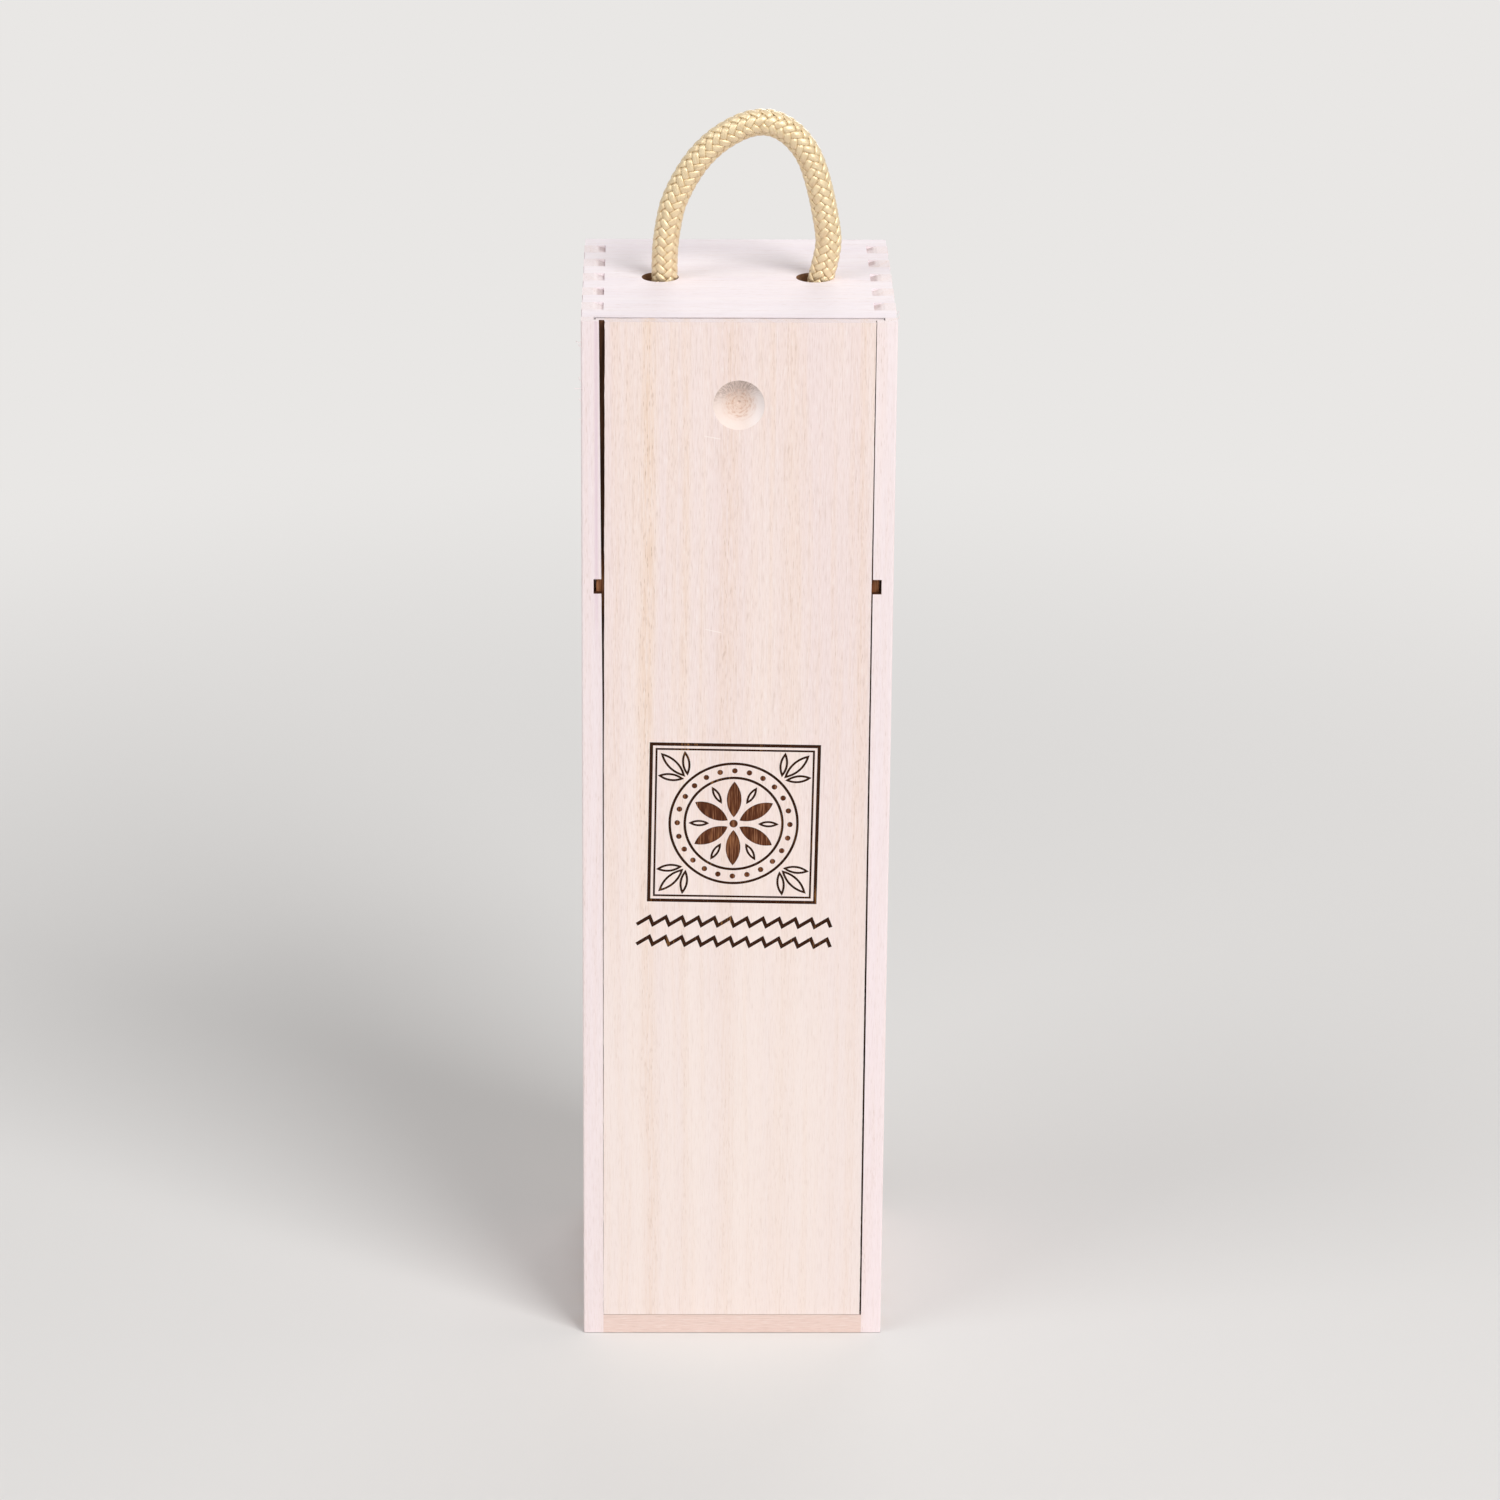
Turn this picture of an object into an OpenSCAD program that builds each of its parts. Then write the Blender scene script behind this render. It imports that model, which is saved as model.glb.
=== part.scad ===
// Wooden box for one bottle of wine. Four boards, finger-jointed at the corners, carry a back panel
// in a rebate, a brace that holds the bottle's neck, and a lid that slides up out of two grooves.
// A braided rope handle is knotted under the top board.
// The box stands on its bottom board, with the lid at the front (-Y).

/* [Case] */
// Outer width of the case
case_w = 100; // [94:1:120]
// Outer depth of the case, from the face of the lid to the back
case_d = 100; // [94:1:120]
// Outer height of the case, standing up
case_h = 353; // [330:1:380]
// Thickness of the two side boards
side_t = 7; // [6:0.5:9]
// Thickness of the top and bottom boards
end_t = 6.5; // [5:0.5:9]
// Radius that the side boards' long outer edges are sanded to
edge_r = 0.6; // [0.2:0.1:1.5]

/* [Back panel] */
// Thickness of the back panel
back_t = 4; // [3:0.5:6]
// Depth of the rebate that the panel's edges sit in
rebate = 3; // [2:0.5:3.5]

/* [Finger joints] */
// Number of fingers that each side board has at each end
side_fingers = 5; // [3:1:7]
// Clearance across each finger of the end boards
finger_slip = 0.15; // [0.05:0.05:0.4]
// How far the end boards' fingers stop short of the outer face
finger_short = 0.25; // [0:0.05:0.6]
// Depth that the side boards' finger tips fall away at the inside
tip_drop = 0.9; // [0:0.1:1.5]
// Width of that slope
tip_run = 3.5; // [1:0.5:6]

/* [Lid groove] */
// Thickness of the lip in front of the groove
lip_t = 2.2; // [1.5:0.1:3]
// Width of the groove, from front to back
groove_w = 3; // [2.5:0.1:4]
// Depth of the groove, into the side board
groove_deep = 3; // [2:0.1:3.5]
// How far the lips stand back from the side boards' inner faces
lip_short = 0.35; // [0:0.05:0.8]
// How far the left lip is planed back at its top end, so that the lid starts easily
lip_ease = 0.95; // [0.1:0.05:1.5]
// Length of lip over which that runs out
lip_ease_h = 130; // [40:10:200]

/* [Lid] */
// Clearance at the tongue's front and back, and behind the lid
lid_slip = 0.15; // [0.1:0.05:0.4]
// Gap under the lid's foot, and between its top end and the top of the case
lid_end_gap = 0.2; // [0.1:0.05:0.5]
// Least clearance between the tongue's tip and the groove's floor
tongue_tip_gap = 0.4; // [0.2:0.1:1]
// Gap beside the lid at its top left corner, to a lip that isn't planed back
gap_top_left = 0.65; // [0.2:0.05:1.6]
// Gap beside the lid at its top right corner
gap_top_right = 0.35; // [0.2:0.05:1.6]
// Gap beside the lid at its bottom left corner
gap_foot_left = 0.4; // [0.2:0.05:1.6]
// Gap beside the lid at its bottom right corner
gap_foot_right = 0.8; // [0.2:0.05:1.6]

/* [Thumb recess] */
// Diameter of the dished recess, at the lid's face
recess_d = 16.4; // [12:0.2:24]
// Depth of the recess
recess_deep = 3.4; // [1.5:0.1:3.6]
// Distance from the lid's top end to the recess's centre
recess_down = 27.2; // [15:0.2:60]
// Diameter of the cutter's point mark, at the bottom of the recess
point_d = 1.4; // [0.8:0.1:2]

/* [Neck brace] */
// Height of the brace's middle, above the ground
brace_z = 265; // [220:1:290]
// Thickness of the brace
brace_t = 4.4; // [3:0.1:6]
// Clearance above, below and at each end of the brace, and in front of it
brace_slip = 0.2; // [0.1:0.05:0.4]
// Depth of the slots that the brace slides into
slot_deep = 3; // [2:0.1:3.5]
// Width of the mouth that takes the bottle's neck
neck_w = 32; // [28:1:40]
// Radius of the corners at the front of the mouth
mouth_r = 5; // [2:0.5:8]

/* [Rope handle] */
// Diameter of the rope
rope_d = 8.6; // [6:0.1:9]
// Diameter of the two holes in the top board
hole_d = 12; // [11.6:0.1:14]
// Distance between the holes' centres
hole_pitch = 50; // [44:1:56]
// Gap between the rope and the right side of each hole
rope_side_gap = 0.3; // [0.1:0.1:1]
// Gap between the bent rope and the top board
rope_lift = 0.3; // [0.2:0.05:1]
// Diameter of the knots
knot_d = 24; // [18:0.5:26]
// Length of rope left below each knot
tail_h = 12; // [6:1:20]

/* [Hidden] */

past = 1;                                  // how far a cutting shape runs past the wood
smooth = 96;                               // sides of the round shapes
front_y = -case_d / 2;
back_y = case_d / 2;
inner_x = case_w / 2 - side_t;             // inner face of a side board
lip_x = inner_x + lip_short;               // edge of a lip
groove_back = front_y + lip_t + groove_w;  // where the finger joints and the top board start
tongue_front = front_y + lip_t + lid_slip;
tongue_back = groove_back - lid_slip;
fingers = 2 * side_fingers + 1;            // of both boards, the end board's being first and last
pitch = (back_y - groove_back) / fingers;
lid_foot = end_t + lid_end_gap;
lid_top = case_h - lid_end_gap;
least_gap = min(gap_top_left, gap_top_right, gap_foot_left, gap_foot_right);
tongue_w = groove_deep - lip_short + least_gap - tongue_tip_gap;  // beyond each edge of the lid's face
slot_h = brace_t + 2 * brace_slip;
rope_y = (groove_back + back_y) / 2;       // the holes are halfway along the top board
rope_r = rope_d / 2;
rope_shift = hole_d / 2 - rope_r - rope_side_gap;  // the rope lies to the right of each hole's centre
pivot_h = rope_r + rope_lift;              // height above the top board of the line the rope folds on

// The rope's loop, as x and height above the top board, between the two points where it folds
rope_loop = [
    [-23.5, 9], [-23, 14], [-22, 20], [-21, 24.5], [-19, 29], [-17, 33], [-13.5, 38.5], [-10, 42.5],
    [-6, 46], [-2, 48.5], [2, 50.5], [6, 51.5], [10, 51.5], [14, 50], [17.5, 47.5], [21, 43.5],
    [23.5, 39], [25, 34.5], [26, 31], [27, 27], [28, 22], [29, 16.5], [29.5, 12], [29, 8.5]
];
rope_fold_out = 1.8;                       // how far the right leg stands out where it folds
knot_turn_drop = 1.45;                     // from a knot's first turn down to its second, in rope radii
rope_sides = 12;
rope_cap = [75, 50, 25];                   // latitudes of the rings that round off the loop's ends

pale_wood = [0.95, 0.89, 0.87];
warm_wood = [0.94, 0.86, 0.81];
rope_gold = [0.87, 0.77, 0.56];

// Points on an arc round c, from angle a to angle b
function arc(c, r, a, b, n = 6) =
    [for (i = [0:n]) let (t = a + (b - a) * i / n) c + r * [cos(t), sin(t)]];

// Where finger i starts, from front to back
function finger_y(i) = groove_back + i * pitch;

// Direction of a route at point i
function heading(route, i) =
    let (a = route[max(i - 1, 0)], b = route[min(i + 1, len(route) - 1)]) (b - a) / norm(b - a);

// A ring of points round c, square to direction t, in the plane that the loop lies in
function ring(c, t, r) = [for (k = [0:rope_sides - 1])
    let (a = 360 * k / rope_sides) [c.x + r * cos(a) * t.y, r * sin(a), c.y - r * cos(a) * t.x]];

// A tube with round ends along a route of [x, z] points in the plane y = 0
module round_tube(route, r) {
    last = len(route) - 1;
    start = heading(route, 0);
    end = heading(route, last);
    rings = concat(
        [for (b = rope_cap) ring(route[0] - r * sin(b) * start, start, r * cos(b))],
        [for (i = [0:last]) ring(route[i], heading(route, i), r)],
        [for (i = [2:-1:0]) ring(route[last] + r * sin(rope_cap[i]) * end, end, r * cos(rope_cap[i]))]
    );
    points = [for (each_ring = rings) each each_ring];
    n = rope_sides;
    walls = [for (i = [0:len(rings) - 2], k = [0:n - 1])
        let (a = i * n + k, b = i * n + (k + 1) % n)
        each [[a, b, a + n], [b, b + n, a + n]]];
    first_cap = [for (k = [n - 1:-1:0]) k];
    last_cap = [for (k = [0:n - 1]) (len(rings) - 1) * n + k];
    polyhedron(points, concat(walls, [first_cap, last_cap]));
}

// The space that the back panel fills, reaching extra past the back of the case
module panel_block(extra = 0) {
    half_w = inner_x + rebate;
    low = end_t - rebate;
    translate([-half_w, back_y - back_t, low])
        cube([2 * half_w, back_t + extra, case_h - 2 * low]);
}

// Section of the right side board, seen from above
module side_section() {
    outer_x = case_w / 2;
    polygon(concat(
        [[lip_x, front_y]],
        arc([outer_x - edge_r, front_y + edge_r], edge_r, -90, 0),
        arc([outer_x - edge_r, back_y - edge_r], edge_r, 0, 90),
        [[inner_x + rebate, back_y], [inner_x + rebate, back_y - back_t], [inner_x, back_y - back_t],
         [inner_x, groove_back], [inner_x + groove_deep, groove_back],
         [inner_x + groove_deep, front_y + lip_t], [lip_x, front_y + lip_t]]
    ));
}

// Cuts one end of the right side board, with that end at z = 0 and the board below it
module side_end_cut() {
    for (i = [0:2:fingers - 1])
        translate([inner_x - past, finger_y(i), -end_t])
            cube([side_t + 2 * past, i == fingers - 1 ? pitch + past : pitch, end_t + past]);
    translate([0, back_y + past, 0])
        rotate([90, 0, 0])
            linear_extrude(back_y + past - groove_back)
                polygon([[inner_x - past, -tip_drop], [inner_x, -tip_drop], [inner_x + tip_run, 0],
                         [inner_x + tip_run, past], [inner_x - past, past]]);
}

// Planes the right board's lip back by ease at its top end
module lip_ease_cut(ease) {
    translate([0, front_y + lip_t, 0])
        rotate([90, 0, 0])
            linear_extrude(lip_t + past)
                polygon([
                    [lip_x - past, case_h - lip_ease_h], [lip_x, case_h - lip_ease_h],
                    [lip_x + ease, case_h], [lip_x + ease, case_h + past], [lip_x - past, case_h + past]
                ]);
}

module right_board(ease = 0) {
    difference() {
        linear_extrude(case_h) side_section();
        translate([0, 0, case_h]) side_end_cut();
        mirror([0, 0, 1]) side_end_cut();
        translate([inner_x - past, front_y - past, brace_z - slot_h / 2])
            cube([slot_deep + past, case_d + 2 * past, slot_h]);
        if (ease > 0) lip_ease_cut(ease);
    }
}

module left_side() {
    color(pale_wood) mirror([1, 0, 0]) right_board(lip_ease);
}

module right_side() {
    color(pale_wood) right_board();
}

// A board between the sides, from y = start to the back, with fingers that reach through them
module end_board(start) {
    reach = case_w / 2 - finger_short;
    translate([-inner_x, start, 0]) cube([2 * inner_x, back_y - start, end_t]);
    for (i = [0:2:fingers - 1]) {
        slip_back = i == fingers - 1 ? 0 : finger_slip / 2;
        slip_front = finger_slip / 2;
        translate([-reach, finger_y(i) + slip_front, 0])
            cube([2 * reach, pitch - slip_front - slip_back, end_t]);
    }
}

module top_board() {
    color(pale_wood)
        difference() {
            translate([0, 0, case_h - end_t]) end_board(groove_back);
            panel_block(past);
            for (side = [-1, 1])
                translate([side * hole_pitch / 2, rope_y, case_h - end_t - past])
                    cylinder(h = end_t + 2 * past, d = hole_d, $fn = smooth);
        }
}

// The bottom board's front edge reaches out to both lips
module bottom_board() {
    color(warm_wood)
        difference() {
            union() {
                end_board(front_y);
                translate([-lip_x, front_y, 0]) cube([2 * lip_x, lip_t, end_t]);
            }
            panel_block(past);
        }
}

module back_panel() {
    color(warm_wood) panel_block();
}

// A board with a mouth for the bottle's neck, open at the front, held in slots across the sides
module neck_brace() {
    half_w = inner_x + slot_deep - brace_slip;
    start = groove_back + brace_slip;
    end = back_y - back_t;
    neck_y = (groove_back + end) / 2;
    neck_r = neck_w / 2;
    color(warm_wood)
        translate([0, 0, brace_z - brace_t / 2])
            difference() {
                translate([-half_w, start, 0]) cube([2 * half_w, end - start, brace_t]);
                translate([0, neck_y, -past]) cylinder(h = brace_t + 2 * past, r = neck_r, $fn = smooth);
                translate([0, 0, -past])
                    linear_extrude(brace_t + 2 * past)
                        polygon(concat(
                            [[neck_r, neck_y], [-neck_r, neck_y]],
                            arc([-neck_r - mouth_r, start + mouth_r], mouth_r, 0, -90),
                            [[-neck_r - mouth_r, start - past], [neck_r + mouth_r, start - past]],
                            arc([neck_r + mouth_r, start + mouth_r], mouth_r, 270, 180)
                        ));
            }
}

// A slab of the lid from y = a to y = b, standing out by extra past each long edge of its face
module lid_slab(a, b, extra) {
    translate([0, b, 0])
        rotate([90, 0, 0])
            linear_extrude(b - a)
                polygon([
                    [-lip_x + gap_foot_left - extra, lid_foot],
                    [lip_x - gap_foot_right + extra, lid_foot],
                    [lip_x - gap_top_right + extra, lid_top],
                    [-lip_x + gap_top_left - extra, lid_top]
                ]);
}

module sliding_lid() {
    dish_r = (pow(recess_d / 2, 2) + pow(recess_deep, 2)) / (2 * recess_deep);
    point_r = point_d / 2;
    color(warm_wood)
        difference() {
            union() {
                lid_slab(front_y, tongue_front, 0);
                lid_slab(tongue_front, tongue_back, tongue_w);
            }
            translate([0, front_y + recess_deep, lid_top - recess_down]) {
                translate([0, -dish_r, 0]) sphere(r = dish_r, $fn = smooth);
                translate([0, -point_r, 0])
                    rotate([-90, 0, 0]) cylinder(h = 2 * point_r, r1 = 2 * point_r, r2 = 0, $fn = smooth / 2);
            }
        }
}

module rope_handle() {
    foot_x = hole_pitch / 2;
    route = concat([[rope_shift - foot_x, pivot_h]], rope_loop,
                   [[rope_shift + foot_x + rope_fold_out, pivot_h]]);
    color(rope_gold) translate([0, rope_y, case_h]) round_tube(route, rope_r);
}

// The end of the rope, through its hole and tied in a knot under the top board
module rope_end(side) {
    knot_top = case_h - end_t;
    big_r = knot_d / 2 - rope_r;
    small_r = (big_r + rope_r) / 2;
    turn_drop = knot_turn_drop * rope_r;
    color(rope_gold)
        translate([side * hole_pitch / 2 + rope_shift, rope_y, knot_top]) {
            translate([0, 0, -rope_r])
                rotate_extrude($fn = smooth) translate([big_r, 0]) circle(r = rope_r, $fn = smooth / 2);
            translate([0, 0, -rope_r - turn_drop])
                rotate_extrude($fn = smooth) translate([small_r, 0]) circle(r = rope_r, $fn = smooth / 2);
            translate([0, 0, -2 * rope_r - turn_drop - tail_h])
                cylinder(h = 2 * rope_r + turn_drop + tail_h + end_t, r = rope_r, $fn = smooth);
        }
}

module rope_end_left() {
    rope_end(-1);
}

module rope_end_right() {
    rope_end(1);
}

left_side();
right_side();
top_board();
bottom_board();
back_panel();
neck_brace();
sliding_lid();
rope_handle();
rope_end_left();
rope_end_right();
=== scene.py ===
# %% [markdown]
# # A wooden box for one wine bottle
# The box is four thin boards with finger joints, a back panel, an inner brace, a lid that slides in
# grooves, and a braided rope for a handle. Its boards come ready made and in place from the packed
# part. This script gives them their wood, burns an ornament into the lid, and makes the rope and its
# two knots, strand by strand.

import math

import bpy
import numpy as np
from mathutils import Matrix, Vector


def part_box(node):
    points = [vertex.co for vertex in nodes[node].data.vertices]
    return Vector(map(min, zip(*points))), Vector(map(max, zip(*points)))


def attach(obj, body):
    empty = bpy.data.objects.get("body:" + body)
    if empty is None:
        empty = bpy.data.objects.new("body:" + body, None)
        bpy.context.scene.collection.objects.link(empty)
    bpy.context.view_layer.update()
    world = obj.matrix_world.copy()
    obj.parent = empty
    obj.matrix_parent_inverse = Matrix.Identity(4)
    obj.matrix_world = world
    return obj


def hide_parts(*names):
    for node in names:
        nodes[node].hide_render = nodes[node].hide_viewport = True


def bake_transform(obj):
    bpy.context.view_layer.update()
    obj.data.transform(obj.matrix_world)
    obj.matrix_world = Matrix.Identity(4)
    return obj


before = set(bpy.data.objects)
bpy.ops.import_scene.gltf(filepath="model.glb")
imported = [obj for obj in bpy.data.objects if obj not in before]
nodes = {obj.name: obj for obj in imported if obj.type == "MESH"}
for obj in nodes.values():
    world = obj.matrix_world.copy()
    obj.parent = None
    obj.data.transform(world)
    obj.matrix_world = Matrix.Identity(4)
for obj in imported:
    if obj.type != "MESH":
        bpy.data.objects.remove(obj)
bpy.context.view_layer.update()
MM = 0.001
print("boards and rope in the frame:", ", ".join(sorted(nodes)))

# %% [markdown]
# ## The camera
# The box is seen from a little above and from a fair distance, with a long lens, so its upright edges
# stay nearly parallel. The camera is built from its turn about the upright axis, its pitch and its
# roll. A matrix of the three turns is safer here than aiming at a point, because an aim leaves the roll
# free.

# %% The camera
EYE = Vector((-25.5, -1725.8, 829.2)) * MM
YAW, PITCH, ROLL = math.radians(1.022), math.radians(20.298), math.radians(0.475)
LENS = 132.42


def add_camera():
    bpy.ops.object.camera_add(location=EYE)
    camera = bpy.context.object
    camera.name = "camera"
    camera.data.sensor_width = 36.0
    camera.data.lens = LENS
    camera.data.clip_end = 60.0
    turn = Matrix.Rotation(-YAW, 4, "Z")
    tilt = Matrix.Rotation(math.pi / 2 - PITCH, 4, "X")
    roll = Matrix.Rotation(ROLL, 4, "Z")
    camera.matrix_world = Matrix.Translation(EYE) @ turn @ tilt @ roll
    bpy.context.scene.camera = camera


add_camera()
print("camera stands", round(EYE.length, 3), "m from the box's foot")

# %% [markdown]
# ## A rope as a real braid
# The handle is a round braided cord, about 8.6 mm thick, of shiny filament yarn. Eight strands wind to
# the right and eight to the left, and each passes over two and under two, which gives the plump grains
# that stand in columns along the cord. A bump pattern on a tube would look flat at the outline, so
# every strand is a mesh of its own round the rope's route. First come the helpers for a route: equal
# steps, rounding, and a frame that is carried along without twist.

# %% Routes for the rope
def even_steps(route, step):
    """The same route, with points at equal steps."""
    lengths = np.linalg.norm(np.diff(route, axis=0), axis=1)
    along = np.concatenate([[0.0], np.cumsum(lengths)])
    count = int(round(along[-1] / step)) + 1
    at = np.linspace(0.0, along[-1], count)
    return np.stack([np.interp(at, along, route[:, k]) for k in range(3)], axis=1)


def rounded(route, rounds):
    """Averages each point with its neighbours; the ends stay."""
    route = route.copy()
    for _ in range(rounds):
        route[1:-1] = (route[:-2] + 2 * route[1:-1] + route[2:]) / 4
    return route


def carried_frame(route):
    """Side and up along the route, turning as little as they can."""
    tangent = np.gradient(route, axis=0)
    tangent /= np.linalg.norm(tangent, axis=1)[:, None]
    side = np.empty_like(tangent)
    carried = np.array([0.0, 1.0, 0.0])
    for k, direction in enumerate(tangent):
        carried = carried - direction * np.dot(carried, direction)
        carried /= np.linalg.norm(carried)
        side[k] = carried
    return side, np.cross(tangent, side)


print("route helpers ready")

# %% [markdown]
# ## One strand after another
# A strand's place is an angle round the rope that grows along it, and a radius that swells where it
# passes over and shrinks where it passes under. It rises and dives quickly and runs level between, so
# that a grain is long and flat and not a bead. Its section is a flat loaf with full shoulders.

# %% One strand
ROPE_Y = 2.6
ROPE_THICK = 8.6
STRANDS = 8
LAY = 23.6
MEAN_RADIUS, SWELL = 3.24, 0.52
STRAND_WIDE, STRAND_THICK = 2.22, 1.12
WIDER_ON_TOP, THICKER_ON_TOP = 0.06, 0.08
LEVEL = 0.22
FACING = math.pi / (2 * STRANDS)
STEP = LAY / (2 * STRANDS) / 4


def shoulder(angle, fullness=0.85):
    """A point of an oval with full shoulders, from -1 to 1 both ways."""
    across, high = math.cos(angle), math.sin(angle)
    return math.copysign(abs(across) ** fullness, across), math.copysign(abs(high) ** fullness, high)


SECTION = [shoulder(a) for a in np.radians([0, 28, 59, 90, 121, 152, 180, 234, 306])]


def strand(index, hand, route, frames, squeeze):
    """Rings of points of one strand, and how far each ring lies over or under the others."""
    side, up = frames
    along = np.arange(len(route)) * STEP
    turn = 2 * np.pi * along / LAY
    angle = FACING + 2 * np.pi * index / STRANDS + hand * turn
    crossing = 2 * index + hand * turn * STRANDS / np.pi
    over = np.cos(np.pi / 2 * (crossing - (0.5 if hand > 0 else 2.5)))
    plump = over * math.sqrt(1 + LEVEL) / np.sqrt(over**2 + LEVEL)
    radius = (MEAN_RADIUS + SWELL * plump) * squeeze
    outward = side * np.cos(angle)[:, None] + up * np.sin(angle)[:, None]
    centre = route + outward * radius[:, None]
    course = np.gradient(centre, axis=0)
    course /= np.linalg.norm(course, axis=1)[:, None]
    across = np.cross(course, outward)
    across /= np.linalg.norm(across, axis=1)[:, None]
    half_wide = STRAND_WIDE / 2 * (1 + WIDER_ON_TOP * plump)
    half_thick = STRAND_THICK / 2 * (1 + THICKER_ON_TOP * plump)
    rings = [
        centre + across * (c * half_wide)[:, None] + outward * (s * half_thick)[:, None]
        for c, s in SECTION
    ]
    return np.stack(rings, axis=1), over


print("a strand takes", round(LAY, 1), "mm for one turn round the rope")

# %% [markdown]
# ## Picking up a piece
# An operator acts on whatever is selected, and in edit mode on the piece that is open. Four small
# helpers say which piece that is, so that no step touches another one by accident.

# %% Selecting, opening and joining
def only(piece):
    """Selects one piece alone and makes it the active one."""
    bpy.ops.object.select_all(action="DESELECT")
    piece.select_set(True)
    bpy.context.view_layer.objects.active = piece
    return piece


def open_up(piece, action="SELECT"):
    """Opens one piece in edit mode, with all of it selected or, with DESELECT, nothing."""
    only(piece)
    bpy.ops.object.mode_set(mode="EDIT")
    bpy.ops.mesh.select_all(action=action)


def shut():
    """Leaves edit mode."""
    bpy.ops.object.mode_set(mode="OBJECT")


def joined(pieces):
    """Joins all the pieces into the first."""
    only(pieces[0])
    for piece in pieces:
        piece.select_set(True)
    bpy.ops.object.join()
    return only(bpy.context.object)


print("helpers ready for selecting, opening and joining")

# %% [markdown]
# ## The braid and its core
# The strand remembers in its UV map where a point is across and along it, for the filaments, and in an
# attribute how deep it lies, for the painted shade in the hollows between the grains. A plain tube runs
# inside the strands, so that no light passes between them.

# %% The whole braid
CORE_RADIUS = 2.3
CORE_SIDES = 12
CORE_EVERY = 3


def woven_mesh(name, points, faces, depth, uvs=None):
    """A smooth mesh from points in millimetres, with its strand map and each point's depth."""
    mesh = bpy.data.meshes.new(name)
    mesh.from_pydata([tuple(p * MM) for p in points], [], faces)
    strand_map = mesh.uv_layers.new(name="strand")
    if uvs:
        strand_map.data.foreach_set("uv", np.array(uvs, np.float32).ravel())
    depths = mesh.attributes.new("depth", "FLOAT", "POINT")
    depths.data.foreach_set("value", np.array(depth, np.float32))
    mesh.shade_smooth()
    piece = bpy.data.objects.new(name, mesh)
    bpy.context.collection.objects.link(piece)
    return piece


def tube_faces(first, rings, sides):
    """The four-cornered faces between rings of points, as ring, side and corners."""
    for k in range(rings - 1):
        for s in range(sides):
            t = (s + 1) % sides
            a, b = first + k * sides, first + (k + 1) * sides
            yield k, s, (a + s, a + t, b + t, b + s)


def braid(name, route_mm, squeeze=1.0):
    """A closed mesh of all strands round a core, along a route in millimetres."""
    route = even_steps(route_mm, STEP)
    frames = carried_frame(route)
    sides, rings = len(SECTION), len(route)
    points, faces, uvs, depth = [], [], [], []
    for hand in (1, -1):
        for index in range(STRANDS):
            loops, over = strand(index, hand, route, frames, squeeze)
            first = len(points)
            last = first + (rings - 1) * sides
            points.extend(loops.reshape(-1, 3))
            depth.extend(np.repeat((1 - over) / 2, sides))
            lane = index + (0 if hand > 0 else STRANDS)
            for k, s, corners in tube_faces(first, rings, sides):
                faces.append(corners)
                low, high = lane + s / sides, lane + (s + 1) / sides
                near, far = k * STEP, (k + 1) * STEP
                uvs.extend([(low, near), (high, near), (high, far), (low, far)])
            for start, order in ((first, range(sides)), (last, reversed(range(sides)))):
                faces.append(tuple(start + s for s in order))
                uvs.extend([(lane, 0.0)] * sides)
    piece = woven_mesh(name, points, faces, depth, uvs)
    add_core(piece, route, frames)
    return piece


def add_core(piece, route, frames):
    """Joins a plain tube to the strands, and turns all faces outwards."""
    side, up = frames
    picked = np.arange(0, len(route), CORE_EVERY)
    angles = np.arange(CORE_SIDES) * 2 * np.pi / CORE_SIDES
    ring = [
        route[k] + CORE_RADIUS * (side[k] * math.cos(a) + up[k] * math.sin(a))
        for k in picked
        for a in angles
    ]
    faces = [corners for _, _, corners in tube_faces(0, len(picked), CORE_SIDES)]
    faces.append(tuple(range(CORE_SIDES)))
    faces.append(tuple(reversed(range((len(picked) - 1) * CORE_SIDES, len(picked) * CORE_SIDES))))
    core = woven_mesh("core", ring, faces, np.ones(len(ring)))
    open_up(joined([piece, core]))
    bpy.ops.mesh.normals_make_consistent(inside=False)
    shut()


print("a braid has", 2 * STRANDS, "strands of", len(SECTION), "sides round a core")

# %% [markdown]
# ## The loop
# The rope comes up through two holes and stands as an uneven arch, because it is stiff and was tied by
# hand. It is one free stretch from hole to hole.

# %% The loop
TOP = 353.0
LOOP = [
    (-23.6, -4.5), (-23.6, 0), (-23.6, 4.6), (-23.5, 9), (-23, 14), (-22, 20), (-21, 24.5), (-19, 29),
    (-17, 33), (-13.5, 38.5), (-10, 42.5), (-6, 46), (-2, 48.5), (2, 50.5), (6, 51.5), (10, 51.5),
    (14, 50), (17.5, 47.5), (21, 43.5), (23.5, 39), (25, 34.5), (26, 31), (27, 27), (28, 22), (29, 16.5),
    (29.5, 12), (29, 8.5), (28.2, 4.6), (27.0, 0), (26.4, -4.5),
]
loop_route = np.array([(x, ROPE_Y, TOP + z) for x, z in LOOP])
loop_route = even_steps(rounded(even_steps(loop_route, 1.0), 6), STEP)
rope = braid("rope_loop", loop_route)
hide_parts("rope_handle")
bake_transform(rope)

# %% [markdown]
# ## The knots
# Under the top board each end of the rope is tied in an overhand knot, which can't pass back through
# its hole. A knot drawn by eye never looks tight, so this one is tied loosely, by its crossings, and
# then pulled tight in a small simulation: the rope is shortened a little, and wherever two parts of it
# would run into each other they push each other apart.

# %% Tying a knot
# How hard each round pulls and straightens, and how many thicknesses apart along the rope two parts
# must be before they push each other away.
PULL, STIFFNESS, STRANGERS = 0.12, 0.04, 1.45


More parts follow.
